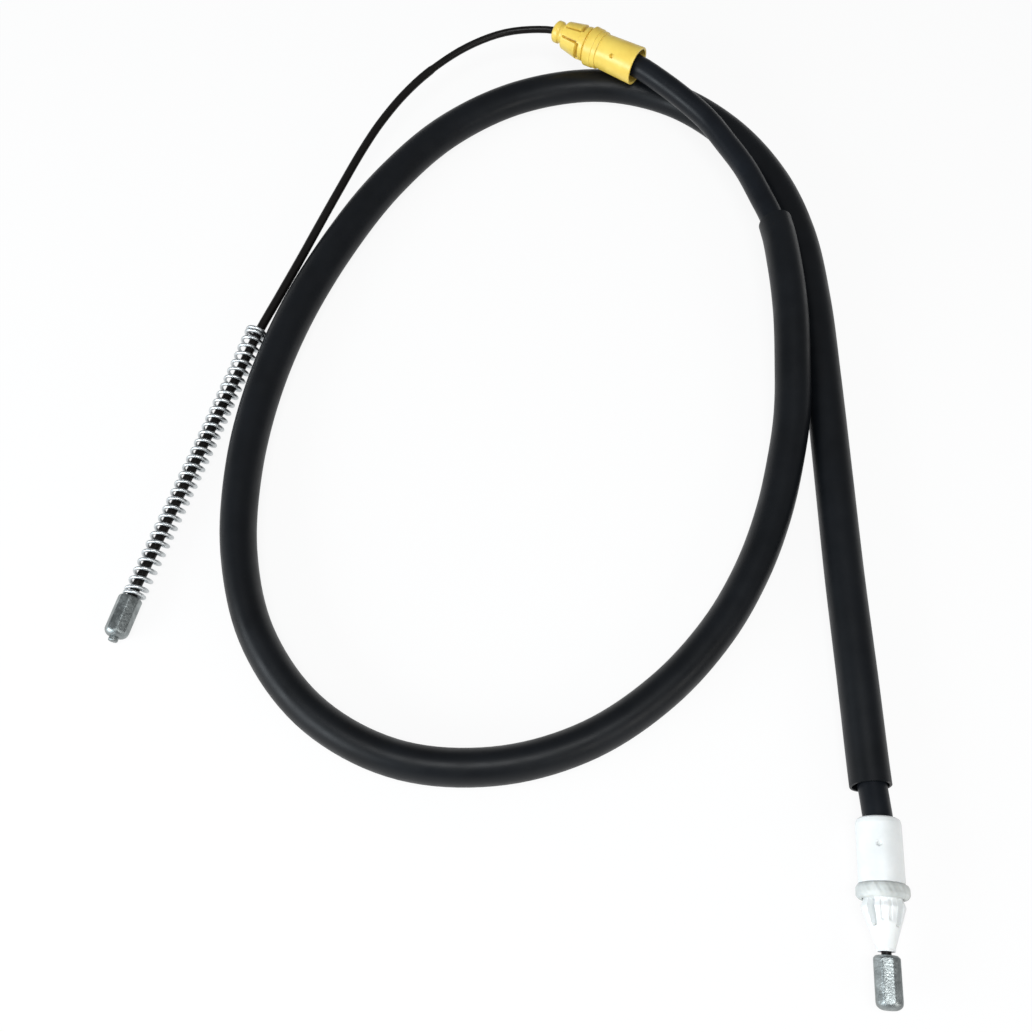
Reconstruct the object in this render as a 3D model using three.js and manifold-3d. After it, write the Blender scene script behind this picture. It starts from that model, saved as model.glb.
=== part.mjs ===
// A sheathed parking brake cable lying in a loose loop. Millimetres, +Z up.
// The origin is the middle of the loop's footprint, on the surface that the cable lies on.

import * as THREE from 'three';
import { mergeVertices } from 'three/addons/utils/BufferGeometryUtils.js';
import Module from 'manifold-3d';

const wasm = await Module();
wasm.setup();

// Room left between pieces that fit together
const fit_gap = 0.3;
const wire_gap = 0.2;

// Inner wire and its coat
const strand_diameter = 2.4;
const casing_coat_diameter = 3.3;
const lead_coat_diameter = 3.8;
const coat_step_length = 2;
const wire_sides = 8;

// Casing layers, from the inside out
const liner_bore = 4.0;
const liner_wall = 0.4;
const armour_bore = 5.4;
const armour_wall = 1.2;
const jacket_bore = 8.8;
const jacket_diameter = 10.2;
const layer_sides = 8;
const jacket_sides = 10;

// Hose around the casing. It is squashed a little, by a width that changes along it
const hose_diameter = 15;
const hose_wall = 0.9;
const hose_sides = 12;
const hose_drift = 0.6;
const hose_widths = [
  [0, 14.2], [0.08, 14.8], [0.15, 13.8], [0.2, 13.8], [0.31, 13.5], [0.37, 13.6],
  [0.43, 15.1], [0.5, 15.8], [0.7, 15.8], [0.85, 15.1], [1, 14.6],
];

// Return spring on the lead
const spring_diameter = 9;
const spring_wire_diameter = 1.4;
const spring_length = 128;
const spring_working_turns = 31;
const spring_closed_turns_at_nipple = 1;
const spring_closed_turns_at_tip = 2;
const spring_closed_gap = 0.2;
const spring_steps_per_turn = 12;
const spring_sides = 5;
// Where the spring's middle lies from the wire: share of its length, sideways to the left, and up
const spring_offsets = [
  [0, -0.75, 0], [0.12, -0.75, 0.4], [0.6, -0.75, 0.4], [1, 0.9, 0.4],
];

// Nipple at the spring end
const spring_nipple_length = 16.3;
const spring_nipple_nub_diameter = 3.6;
const spring_nipple_nub_length = 1.7;
const spring_nipple_edge = 0.5;
const spring_nipple_roll = 18;

// Nipple at the lever end
const lever_nipple_length = 16.6;
const lever_nipple_edge = 1;
const lever_nipple_roll = 9.5;
const lever_nipple_standoff = 1.2;

// Both nipples: a round body with eight pressed flats, a rounded nose and a widened mouth
const nipple_diameter = 9.3;
const nipple_width_across_flats = 8.7;
const nipple_flats = 8;
const nipple_sides = 24;
const nipple_nose_rounding = 3;
const nipple_bore_depth = 13;
const nipple_mouth_diameter = 6.4;
const nipple_mouth_depth = 0.9;
const rounding_steps = 4;

// Yellow clip, from its nose to its open end
const yellow_head_length = 3.9;
const yellow_head_diameter = 10.2;
const yellow_head_rounding = 0.9;
const yellow_neck_length = 1.9;
const yellow_neck_diameter = 8.8;
const yellow_finger_length = 9.3;
const yellow_finger_start_diameter = 12.6;
const yellow_barb_diameter = 16;
const yellow_barb_flat = 0.8;
const yellow_body_length = 3.2;
const yellow_body_diameter = 15.8;
const yellow_groove_length = 1.2;
const yellow_groove_diameter = 14;
const yellow_seat_diameter = 16.4;
const yellow_seat_relief = 0.5;
const yellow_flange_length = 3.9;
const yellow_flange_diameter = 18.2;
const yellow_flange_back_diameter = 17.8;
const yellow_band_length = 2.3;
const yellow_band_diameter = 17.2;
const yellow_sleeve_length = 19.1;
const yellow_sleeve_start_diameter = 15.9;
const yellow_sleeve_end_diameter = 17.5;
const yellow_mouth_bore = 15.2;
const yellow_mouth_depth = 4;
const yellow_floor = 1.6;
const yellow_roll = 34.2;
const yellow_rib_count = 3;
const yellow_rib_angle = 42;
const yellow_slot_angle = 9;
const yellow_pin_hole_diameter = 1.9;
const yellow_pin_hole_place = 11;
const yellow_pin_hole_turn = 14.4;

// White clip, from its open end to its nose
const white_sleeve_length = 21.8;
const white_sleeve_diameter = 15.4;
const white_sleeve_rounding = 2;
const white_floor = 1.6;
const white_seat_diameter = 12.8;
const white_barb_place = 2.6;
const white_barb_diameter = 14.7;
const white_cone_length = 16.4;
const white_nose_diameter = 6.1;
const white_nose_flat = 0.8;
const white_slot_length = 8.5;
const white_slot_angle = 13;
const white_finger_count = 4;
const white_roll = -7.6;
const white_pin_hole_diameter = 1.9;
const white_pin_hole_place = 9;
const white_pin_hole_turn = -6;

// Both clips
const clip_bore = 12.6;
const clip_wire_hole = 4.6;
const clip_sides = 32;
const snap_gap = 1;
const snap_undercut = 0.9;
const sector_steps = 5;
const pin_hole_sides = 12;

// Rubber collar on the white clip
const collar_length = 5;
const collar_diameter = 17.9;
const collar_face_diameter = 16.6;
const collar_seat_diameter = 15.2;
const collar_rounding = 1.2;

// Steel cups on the casing's two ends
const cup_length = 13;
const cup_floor = 1;
const cup_wire_hole = 5.2;
const cup_sides = 20;

// How far apart the sections of the cable stand
const lead_step = 13;
const clip_step = 12;
const casing_step = 24;
const hose_step = 30;
const spans_per_point = 40;

// The cable's route, from the spring-end nipple to the lever-end nipple
const lead_points = [
  [-141.5, -88.2, 4.7], [-137.6, -72.4, 4.7], [-132.8, -55.7, 4.4], [-127.3, -36.4, 4.4], [-122.2, -18.9, 4.6],
  [-114.5, 6.6, 5.1], [-107.3, 28.3, 6.2], [-100.6, 48.1, 7.8], [-93.3, 65.9, 9.1], [-85, 86.6, 10.3],
  [-78.4, 103.6, 11.3], [-70.4, 124, 12.4], [-61.2, 145.7, 14.3], [-53.2, 161.3, 16.1], [-42.5, 177.6, 18],
  [-31, 190.5, 19.7], [-14.7, 203.7, 21.4], [1.7, 211.5, 22.7], [15.1, 213.8, 23.2],
];
const coat_step_point = 15;
const yellow_open_end = [66.4, 189.5, 23.2];
const yellow_heading = 148.1;
const casing_points = [
  [76.6, 180.6, 22.6], [87.3, 170.5, 21.2], [97.1, 159.3, 19.9], [105.1, 145.4, 19.1], [112.5, 130.7, 18.7],
  [117.8, 115.1, 18.5],
];
const hose_points = [
  [122.5, 100, 17.8], [124, 78, 18.5], [124.5, 54, 16.9], [123.5, 30.5, 13.9], [121.5, 7, 10.7],
  [116.5, -16, 8.7], [109.5, -39, 7.9], [99, -63, 7.9], [84, -87, 7.9], [62.5, -110, 7.85],
  [34.5, -128.5, 7.85], [2, -137.5, 7.85], [-33, -135, 7.85], [-64, -118.5, 7.85], [-86, -90.5, 7.8],
  [-97, -56.5, 7.55], [-99.5, -18.5, 7.15], [-95.5, 19.5, 6.85], [-85.5, 58, 6.7], [-69.5, 97, 6.6],
  [-49, 133.5, 6.6], [-22, 165.5, 6.6], [12, 187, 6.65], [50, 194.5, 6.65], [83.5, 185.5, 6.7],
  [109, 164.5, 6.8], [127, 135, 6.9], [136, 102.5, 7], [138.5, 66, 7.1], [138, 24.5, 7.25],
  [136.8, -20.5, 7.4], [135.6, -65, 7.5], [135.1, -105, 7.7], [134.5, -144.9, 7.75],
];
const white_open_end = [134.4, -156.5, 8.95];
const white_heading = -94.4;

const up = new THREE.Vector3(0, 0, 1);
const vector = (place) => new THREE.Vector3(...place);
const radians = THREE.MathUtils.degToRad;

function heading_vector(degrees) {
  return new THREE.Vector3(Math.cos(radians(degrees)), Math.sin(radians(degrees)), 0);
}

function along(place, direction, distance) {
  return place.clone().addScaledVector(direction, distance);
}

const half = (length) => length / 2;

// Lengths worked out from the pieces of each clip
const yellow_snap_length = yellow_head_length + yellow_neck_length + yellow_finger_length;
const yellow_flange_place = yellow_snap_length + yellow_body_length + yellow_groove_length;
const yellow_band_place = yellow_flange_place + yellow_flange_length;
const yellow_sleeve_place = yellow_band_place + yellow_band_length;
const yellow_length = yellow_sleeve_place + yellow_sleeve_length;
const yellow_bore_place = yellow_sleeve_place + yellow_floor;
const white_collar_place = white_sleeve_length;
const white_cone_place = white_collar_place + collar_length;
const white_length = white_cone_place + white_cone_length;
const white_bore_depth = white_sleeve_length - white_floor;

const yellow_outward = heading_vector(yellow_heading);
const yellow_inward = yellow_outward.clone().negate();
const yellow_nose = along(vector(yellow_open_end), yellow_outward, yellow_length);
const white_outward = heading_vector(white_heading);
const white_nose = along(vector(white_open_end), white_outward, white_length);
const lever_nipple_mouth = along(white_nose, white_outward, lever_nipple_standoff);

// The route is one smooth curve. Each index below is the curve point that a piece starts or ends at
const route_points = [];

function add_points(points) {
  route_points.push(...points);
  return route_points.length - 1;
}

const nipple_mouth_index = 1;
add_points(lead_points.map(vector));
const yellow_nose_index = add_points([yellow_nose]);
add_points([along(yellow_nose, yellow_inward, yellow_head_length)]);
add_points([along(yellow_nose, yellow_inward, yellow_bore_place)]);
const yellow_end_index = add_points([vector(yellow_open_end)]);
add_points(casing_points.map(vector));
const hose_start_index = add_points([vector(hose_points[0])]);
const hose_end_index = add_points(hose_points.slice(1).map(vector));
const white_end_index = add_points([vector(white_open_end)]);
add_points([along(vector(white_open_end), white_outward, white_bore_depth)]);
const white_nose_index = add_points([white_nose]);
const lever_mouth_index = add_points([lever_nipple_mouth]);
add_points([along(lever_nipple_mouth, white_outward, lever_nipple_length)]);

const route = new THREE.CatmullRomCurve3(route_points, false, 'centripetal');
route.arcLengthDivisions = (route_points.length - 1) * spans_per_point;
const route_lengths = route.getLengths();
const route_length = route_lengths[route_lengths.length - 1];
const arc_of = (index) => route_lengths[index * spans_per_point];

const nipple_mouth_arc = arc_of(nipple_mouth_index);
const coat_step_arc = arc_of(coat_step_point);
const yellow_nose_arc = arc_of(yellow_nose_index);
const yellow_end_arc = arc_of(yellow_end_index);
const hose_start_arc = arc_of(hose_start_index);
const hose_end_arc = arc_of(hose_end_index);
const white_end_arc = arc_of(white_end_index);
const white_nose_arc = arc_of(white_nose_index);
const lever_mouth_arc = arc_of(lever_mouth_index);

const strand_start_arc = nipple_mouth_arc - nipple_bore_depth + fit_gap;
const strand_end_arc = lever_mouth_arc + nipple_bore_depth - fit_gap;
const coat_start_arc = nipple_mouth_arc + fit_gap;
const coat_end_arc = lever_mouth_arc - fit_gap;
const casing_start_arc = yellow_nose_arc + yellow_bore_place + cup_floor + 2 * fit_gap;
const casing_end_arc = white_end_arc + white_bore_depth - cup_floor - 2 * fit_gap;

// Every layer of the cable has its sections at the same places, so the layers stay nested
function spread(from, to, step) {
  const count = Math.max(1, Math.round((to - from) / step));
  return Array.from({ length: count + 1 }, (_, index) => from + ((to - from) * index) / count);
}

const piece_end_arcs = [
  strand_start_arc, strand_end_arc, coat_start_arc, coat_step_arc, coat_step_arc + coat_step_length,
  casing_start_arc, casing_end_arc,
];
const section_arcs = [
  ...spread(nipple_mouth_arc, yellow_nose_arc, lead_step),
  ...spread(yellow_nose_arc, yellow_end_arc, clip_step),
  ...spread(yellow_end_arc, hose_start_arc, casing_step),
  ...spread(hose_start_arc, hose_end_arc, hose_step),
  ...spread(white_end_arc, white_nose_arc, clip_step),
  coat_end_arc,
  ...piece_end_arcs,
].sort((one, other) => one - other);

function arcs_between(from, to) {
  const inner = section_arcs.filter((arc) => arc > from + wire_gap && arc < to - wire_gap);
  return [from, ...inner, to];
}

// Position and level directions of the route at a distance along it
function frame_at(arc) {
  const place = route.getPointAt(arc / route_length);
  const tangent = route.getTangentAt(arc / route_length);
  const side = new THREE.Vector3().crossVectors(up, tangent).normalize();
  const rise = new THREE.Vector3().crossVectors(tangent, side);
  return { place, tangent, side, rise };
}

// A path whose sections stand exactly where its frames say
class FramedPath extends THREE.Curve {
  constructor(frames) {
    super();
    this.frames = frames;
  }

  getSpacedPoints() {
    return this.frames.map((frame) => frame.place);
  }

  computeFrenetFrames() {
    return {
      tangents: this.frames.map((frame) => frame.tangent),
      normals: this.frames.map((frame) => frame.side),
      binormals: this.frames.map((frame) => frame.rise),
    };
  }
}

function ring_points(radius, sides) {
  return Array.from({ length: sides }, (_, index) => {
    const angle = (2 * Math.PI * index) / sides;
    return new THREE.Vector2(radius * Math.cos(angle), radius * Math.sin(angle));
  });
}

function round_section(outer_diameter, bore, sides) {
  const section = new THREE.Shape(ring_points(outer_diameter / 2, sides));
  if (bore > 0) {
    section.holes.push(new THREE.Path(ring_points(bore / 2, sides)));
  }
  return section;
}

function extrude_along(section, frames) {
  const settings = { steps: frames.length - 1, extrudePath: new FramedPath(frames), bevelEnabled: false };
  return closed(new THREE.ExtrudeGeometry(section, settings));
}

// Merges shared corners, drops empty triangles and turns every face outwards
function closed(geometry) {
  const bare = geometry.clone();
  bare.deleteAttribute('normal');
  bare.deleteAttribute('uv');
  const merged = mergeVertices(bare, 1e-5);
  const corners = merged.getAttribute('position');
  const [a, b, c] = [new THREE.Vector3(), new THREE.Vector3(), new THREE.Vector3()];
  const kept = [];
  let volume = 0;
  for (let index = 0; index < merged.index.count; index += 3) {
    const [i, j, k] = [0, 1, 2].map((step) => merged.index.getX(index + step));
    if (i === j || j === k || k === i) continue;
    a.fromBufferAttribute(corners, i);
    b.fromBufferAttribute(corners, j);
    c.fromBufferAttribute(corners, k);
    volume += a.dot(b.cross(c));
    kept.push(i, j, k);
  }
  merged.setIndex(volume < 0 ? kept.reverse() : kept);
  merged.computeVertexNormals();
  return merged;
}

function to_solid(geometry) {
  const vertProperties = new Float32Array(geometry.getAttribute('position').array);
  const triVerts = new Uint32Array(geometry.index.array);
  return new wasm.Manifold(new wasm.Mesh({ numProp: 3, vertProperties, triVerts }));
}

function to_geometry(solid) {
  const mesh = solid.getMesh();
  const geometry = new THREE.BufferGeometry();
  geometry.setAttribute('position', new THREE.BufferAttribute(mesh.vertProperties, 3));
  geometry.setIndex(new THREE.BufferAttribute(mesh.triVerts, 1));
  geometry.computeVertexNormals();
  return geometry;
}

function cut(geometry, tools) {
  const start = to_solid(geometry);
  return to_geometry(tools.reduce((solid, tool) => solid.subtract(to_solid(tool)), start));
}

function common(one, other) {
  return to_geometry(to_solid(one).intersect(to_solid(other)));
}

// A solid turned about Z from a closed profile of [radius, height] points
function turned(profile, sides) {
  const outline = profile.map(([radius, height]) => new THREE.Vector2(radius, height));
  return closed(new THREE.LatheGeometry(outline, sides).rotateX(Math.PI / 2));
}

function turned_ring(profile, sides) {
  return turned([...profile, profile[0]], sides);
}

// Profile points of an edge rounded between a flat end at height 0 and a side at a radius
function rounded_edge(radius, rounding) {
  return Array.from({ length: rounding_steps + 1 }, (_, step) => {
    const angle = (Math.PI / 2) * (step / rounding_steps);
    return [radius - rounding * (1 - Math.sin(angle)), rounding * (1 - Math.cos(angle))];
  });
}

// A block between two radii and two angles about Z, standing from one height to another
function sector(inner, outer, middle_angle, width_angle, from, to) {
  const start = radians(middle_angle - width_angle / 2);
  const end = radians(middle_angle + width_angle / 2);
  const outline = new THREE.Shape();
  outline.absarc(0, 0, outer, start, end, false);
  outline.absarc(0, 0, inner, end, start, true);
  const settings = { depth: to - from, bevelEnabled: false, curveSegments: sector_steps };
  return closed(new THREE.ExtrudeGeometry(outline, settings).translate(0, 0, from));
}

// A peg that points outwards from the Z axis at an angle and a height
function cross_peg(diameter, start, end, angle, height) {
  const peg = new THREE.CylinderGeometry(diameter / 2, diameter / 2, end - start, pin_hole_sides);
  peg.rotateZ(-Math.PI / 2).translate((start + end) / 2, 0, 0);
  return closed(peg.rotateZ(radians(angle)).translate(0, 0, height));
}

// Adds a piece to the cable
const cable = new THREE.Group();
cable.name = 'parking_brake_cable';

function add_piece(name, geometry, color, roughness, metalness) {
  const material = new THREE.MeshStandardMaterial({ color, roughness, metalness });
  const piece = new THREE.Mesh(geometry, material);
  piece.name = name;
  cable.add(piece);
  return piece;
}

// Stands a turned piece's Z axis along a direction. Its local +Y points up, rolled by an angle
function stand_along(piece, place, direction, roll) {
  const across = new THREE.Vector3().crossVectors(up, direction).normalize();
  const rise = new THREE.Vector3().crossVectors(direction, across);
  const basis = new THREE.Matrix4().makeBasis(across, rise, direction);
  const level = new THREE.Quaternion().setFromRotationMatrix(basis);
  const turn = new THREE.Quaternion().setFromAxisAngle(up, radians(roll));
  piece.position.copy(place);
  piece.quaternion.copy(level.multiply(turn));
}

// Inner wire
function make_strand() {
  const frames = arcs_between(strand_start_arc, strand_end_arc).map(frame_at);
  return extrude_along(round_section(strand_diameter, 0, wire_sides), frames);
}

// The coat is thick on the lead and steps down to its size in the casing
const coat_bore = strand_diameter + 2 * wire_gap;

function coat_diameter_at(arc) {
  const blend = THREE.MathUtils.clamp((arc - coat_step_arc) / coat_step_length, 0, 1);
  return THREE.MathUtils.lerp(lead_coat_diameter, casing_coat_diameter, blend);
}

function make_coat() {
  const frames = arcs_between(coat_start_arc, coat_end_arc).map((arc) => {
    const frame = frame_at(arc);
    frame.side.multiplyScalar(coat_diameter_at(arc));
    frame.rise.multiplyScalar(coat_diameter_at(arc));
    return frame;
  });
  const bore_frames = arcs_between(coat_start_arc, coat_end_arc).map(frame_at);
  const [first, last] = [bore_frames[0], bore_frames[bore_frames.length - 1]];
  first.place.addScaledVector(first.tangent, -fit_gap);
  last.place.addScaledVector(last.tangent, fit_gap);
  const outside = extrude_along(round_section(1, 0, wire_sides), frames);
  const bore = extrude_along(round_section(coat_bore, 0, wire_sides), bore_frames);
  return cut(outside, [bore]);
}

// Casing layers
function make_layer(outer_diameter, bore, sides) {
  const frames = arcs_between(casing_start_arc, casing_end_arc).map(frame_at);
  return extrude_along(round_section(outer_diameter, bore, sides), frames);
}

// The values in a table's columns at a share, in straight lines between its rows of [share, ...values]
function values_at(table, share) {
  const next = Math.max(1, table.findIndex(([place]) => place >= share));
  const [from, ...before] = table[next - 1];
  const [to, ...after] = table[next];
  return before.map((value, column) => THREE.MathUtils.mapLinear(share, from, to, value, after[column]));
}

// Hose. The casing lies by one wall at the start, underneath in the middle and by the other wall at the end
function hose_frame_at(arc) {
  const share = THREE.MathUtils.clamp((arc - hose_start_arc) / (hose_end_arc - hose_start_arc), 0, 1);
  const squash = values_at(hose_widths, share)[0] / hose_diameter;
  const frame = frame_at(arc);
  frame.place.addScaledVector(frame.side, hose_drift * Math.cos(Math.PI * share));
  frame.place.addScaledVector(frame.rise, hose_drift * Math.sin(Math.PI * share));
  frame.side.multiplyScalar(squash);
  frame.rise.multiplyScalar(2 - squash);
  return frame;
}

function make_hose() {
  const frames = arcs_between(hose_start_arc, hose_end_arc).map(hose_frame_at);
  return extrude_along(round_section(hose_diameter, hose_diameter - 2 * hose_wall, hose_sides), frames);
}

// Spring
const spring_start_arc = nipple_mouth_arc + fit_gap + spring_wire_diameter / 2;
const spring_closed_pitch = spring_wire_diameter + spring_closed_gap;
const spring_closed_turns = spring_closed_turns_at_nipple + spring_closed_turns_at_tip;
const spring_turns = spring_working_turns + spring_closed_turns;
const spring_climb = spring_length - spring_wire_diameter;
const spring_pitch = (spring_climb - spring_closed_turns * spring_closed_pitch) / spring_working_turns;

function spring_height_at(turn) {
  const first = Math.min(turn, spring_closed_turns_at_nipple);
  const working = THREE.MathUtils.clamp(turn - spring_closed_turns_at_nipple, 0, spring_working_turns);
  const last = Math.max(0, turn - spring_closed_turns_at_nipple - spring_working_turns);
  return (first + last) * spring_closed_pitch + working * spring_pitch;
}

function spring_frame_at(turn) {
  const height = spring_height_at(turn);
  const frame = frame_at(spring_start_arc + height);
  const angle = 2 * Math.PI * turn;
  const radius = (spring_diameter - spring_wire_diameter) / 2;
  const [across, upward] = [Math.cos(angle), Math.sin(angle)];
  const radial = frame.side.clone().multiplyScalar(across).addScaledVector(frame.rise, upward);
  const around = frame.side.clone().multiplyScalar(-upward).addScaledVector(frame.rise, across);
  const [sideways, lift] = values_at(spring_offsets, THREE.MathUtils.clamp(height / spring_climb, 0, 1));
  const place = frame.place.clone().addScaledVector(radial, radius);
  place.addScaledVector(frame.side, sideways).addScaledVector(frame.rise, lift);
  const lean = spring_pitch / (2 * Math.PI * radius);
  const tangent = around.addScaledVector(frame.tangent, lean).normalize();
  return { place, tangent, side: radial, rise: new THREE.Vector3().crossVectors(tangent, radial) };
}

function make_spring() {
  const count = spring_turns * spring_steps_per_turn;
  const turns = Array.from({ length: count + 1 }, (_, index) => index / spring_steps_per_turn);
  return extrude_along(round_section(spring_wire_diameter, 0, spring_sides), turns.map(spring_frame_at));
}

// Nipples, each turned about Z from its nose up to its mouth. A nub may stand on the nose
function make_nipple(length, edge, nub_diameter, nub_length) {
  const radius = half(nipple_diameter);
  const bore = half(strand_diameter) + fit_gap;
  const bore_floor = length - nipple_bore_depth;
  const body = turned([
    [0, -nub_length],
    [half(nub_diameter), -nub_length],
    [half(nub_diameter), 0],
    ...rounded_edge(radius, nipple_nose_rounding),
    [radius, length - edge],
    [radius - edge, length],
    [half(nipple_mouth_diameter), length],
    [bore, length - nipple_mouth_depth],
    [bore, bore_floor],
    [0, bore_floor],
  ], nipple_sides);
  const corner = half(nipple_width_across_flats) / Math.cos(Math.PI / nipple_flats);
  const [below, above] = [-nub_length - fit_gap, length + fit_gap];
  const flats = turned([[0, below], [corner, below], [corner, above], [0, above]], nipple_flats);
  return common(body, flats);
}

// Yellow clip, turned about Z from its nose. Fixed ribs stand between fingers that are free at their barbs
function make_yellow_clip() {
  const finger_place = yellow_head_length + yellow_neck_length;
  const groove_place = yellow_snap_length + yellow_body_length;
  const mouth_place = yellow_length - yellow_mouth_depth;
  const blank = turned_ring([
    [half(clip_wire_hole), 0],
    [half(yellow_head_diameter) - yellow_head_rounding, 0],
    [half(yellow_head_diameter), yellow_head_rounding],
    [half(yellow_head_diameter), yellow_head_length - yellow_head_rounding],
    [half(yellow_neck_diameter), yellow_head_length],
    [half(yellow_neck_diameter), finger_place],
    [half(yellow_finger_start_diameter), finger_place],
    [half(yellow_barb_diameter), yellow_snap_length - yellow_barb_flat],
    [half(yellow_barb_diameter), yellow_snap_length],
    [half(yellow_body_diameter), yellow_snap_length],
    [half(yellow_body_diameter), groove_place],
    [half(yellow_groove_diameter), groove_place],
    [half(yellow_groove_diameter), yellow_flange_place - yellow_seat_relief],
    [half(yellow_seat_diameter), yellow_flange_place],
    [half(yellow_flange_diameter), yellow_flange_place],
    [half(yellow_flange_back_diameter), yellow_band_place],
    [half(yellow_band_diameter), yellow_band_place],
    [half(yellow_band_diameter), yellow_sleeve_place],
    [half(yellow_sleeve_start_diameter), yellow_sleeve_place],
    [half(yellow_sleeve_end_diameter), yellow_length],
    [half(yellow_mouth_bore), yellow_length],
    [half(yellow_mouth_bore), mouth_place],
    [half(clip_bore), mouth_place],
    [half(clip_bore), yellow_bore_place],
    [half(clip_wire_hole), yellow_bore_place],
  ], clip_sides);
  const reach = half(yellow_barb_diameter) + snap_gap;
  const core = half(yellow_neck_diameter);
  const rib_spacing = 360 / yellow_rib_count;
  const free_width = rib_spacing - yellow_rib_angle - yellow_slot_angle / 2;
  const tools = [];
  for (let rib = 0; rib < yellow_rib_count; rib += 1) {
    const angle = 90 + rib * rib_spacing;
    for (const slot of [angle - yellow_rib_angle / 2, angle + yellow_rib_angle / 2]) {
      tools.push(sector(core, reach, slot, yellow_slot_angle, finger_place + snap_gap, yellow_snap_length));
    }
    const finger = angle + rib_spacing / 2;
    const [gap_start, gap_end] = [yellow_snap_length - snap_gap / 2, yellow_snap_length + snap_gap];
    tools.push(sector(core, reach, finger, free_width, gap_start, gap_end));
    const undercut_start = finger_place + 2 * snap_gap;
    tools.push(sector(core, core + snap_undercut, finger, free_width, undercut_start, yellow_snap_length));
  }
  const pin_height = yellow_length - yellow_pin_hole_place;
  const pin_angle = 90 + yellow_pin_hole_turn;
  tools.push(cross_peg(yellow_pin_hole_diameter, core, reach + snap_gap, pin_angle, pin_height));
  return cut(blank, tools);
}

// White clip, turned about Z from its nose up to its open end
function make_white_clip() {
  const barb_height = white_cone_length - white_barb_place;
  const sleeve_height = white_length - white_sleeve_length;
  const rounding = Math.min(white_sleeve_rounding, half(white_sleeve_diameter - clip_bore) - fit_gap);
  const mouth_edge = rounded_edge(half(white_sleeve_diameter), rounding);
  const blank = turned_ring([
    [half(clip_wire_hole), 0],
    [half(white_nose_diameter), 0],
    [half(white_nose_diameter), white_nose_flat],
    [half(white_barb_diameter), barb_height],
    [half(white_seat_diameter), white_cone_length],
    [half(white_seat_diameter), sleeve_height],
    [half(white_sleeve_diameter), sleeve_height],
    ...mouth_edge.reverse().map(([radius, height]) => [radius, white_length - height]),
    [half(clip_bore), white_length],
    [half(clip_bore), white_length - white_bore_depth],
    [half(clip_wire_hole), white_length - white_bore_depth],
  ], clip_sides);
  const reach = half(white_barb_diameter) + snap_gap;
  const core = half(clip_wire_hole) + snap_undercut;
  const spacing = 360 / white_finger_count;
  const slot_start = white_cone_length - white_slot_length;
  const slot_end = white_cone_length - fit_gap;
  const tools = [];
  for (let finger = 0; finger < white_finger_count; finger += 1) {
    const angle = 90 + finger * spacing;
    tools.push(sector(core, reach, angle + spacing / 2, white_slot_angle, slot_start, slot_end));
    if (finger % 2 === 1) {
      const free_width = spacing - white_slot_angle / 2;
      tools.push(sector(core + snap_undercut, reach, angle, free_width, slot_end - snap_gap, slot_end));
    }
  }
  const pin_angle = 90 + white_pin_hole_turn;
  const pin_height = white_length - white_pin_hole_place;
  tools.push(cross_peg(white_pin_hole_diameter, core, reach + snap_gap, pin_angle, pin_height));
  return cut(blank, tools);
}

// Rubber collar, turned about Z from the face that looks to the white clip's nose
function make_collar() {
  const outer = half(collar_diameter);
  const bore = half(white_seat_diameter) + fit_gap;
  const length = collar_length - fit_gap;
  return turned_ring([
    [bore, 0],
    [half(collar_seat_diameter), 0],
    [half(collar_face_diameter), 0],
    [outer, collar_rounding],
    [outer, length - collar_rounding],
    [half(collar_face_diameter), length],
    [bore, length],
  ], clip_sides);
}

// Steel cup, turned about Z from its floor
function make_cup() {
  const outer = half(clip_bore) - fit_gap;
  const inner = half(jacket_diameter) + fit_gap;
  return turned_ring([
    [half(cup_wire_hole), 0],
    [outer, 0],
    [outer, cup_length],
    [inner, cup_length],
    [inner, cup_floor],
    [half(cup_wire_hole), cup_floor],
  ], cup_sides);
}

// Assembly
const black_plastic = 0x15171a;
const zinc = 0xc9ccce;
const steel = 0x8f9494;

add_piece('inner_wire', make_strand(), steel, 0.4, 1);
add_piece('wire_coating', make_coat(), 0x14110f, 0.35, 0);
const liner_diameter = liner_bore + 2 * liner_wall;
add_piece('conduit_liner', make_layer(liner_diameter, liner_bore, layer_sides), 0xe6e6e0, 0.5, 0);
const armour_diameter = armour_bore + 2 * armour_wall;
add_piece('conduit_armour', make_layer(armour_diameter, armour_bore, layer_sides), steel, 0.45, 1);
add_piece('conduit_jacket', make_layer(jacket_diameter, jacket_bore, jacket_sides), black_plastic, 0.45, 0);
add_piece('protective_hose', make_hose(), black_plastic, 0.5, 0);
add_piece('return_spring', make_spring(), zinc, 0.3, 1);

const spring_nipple_mouth = vector(lead_points[nipple_mouth_index]);
const spring_nipple_axis = spring_nipple_mouth.clone().sub(vector(lead_points[0])).normalize();
const spring_nipple_nose = along(spring_nipple_mouth, spring_nipple_axis, -spring_nipple_length);
const spring_nipple_geometry = make_nipple(
  spring_nipple_length, spring_nipple_edge, spring_nipple_nub_diameter, spring_nipple_nub_length,
);
const spring_nipple = add_piece('spring_end_nipple', spring_nipple_geometry, steel, 0.4, 1);
stand_along(spring_nipple, spring_nipple_nose, spring_nipple_axis, spring_nipple_roll);

const white_inward = white_outward.clone().negate();
const lever_nipple_nose = along(lever_nipple_mouth, white_outward, lever_nipple_length);
const lever_nipple_geometry = make_nipple(lever_nipple_length, lever_nipple_edge, 0, 0);
const lever_nipple = add_piece('lever_end_nipple', lever_nipple_geometry, steel, 0.4, 1);
stand_along(lever_nipple, lever_nipple_nose, white_inward, lever_nipple_roll);

const yellow_clip = add_piece('yellow_end_clip', make_yellow_clip(), 0xebcd5f, 0.4, 0);
stand_along(yellow_clip, yellow_nose, yellow_inward, yellow_roll);

const white_clip = add_piece('white_end_clip', make_white_clip(), 0xf0f5f5, 0.4, 0);
stand_along(white_clip, white_nose, white_inward, white_roll);

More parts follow.
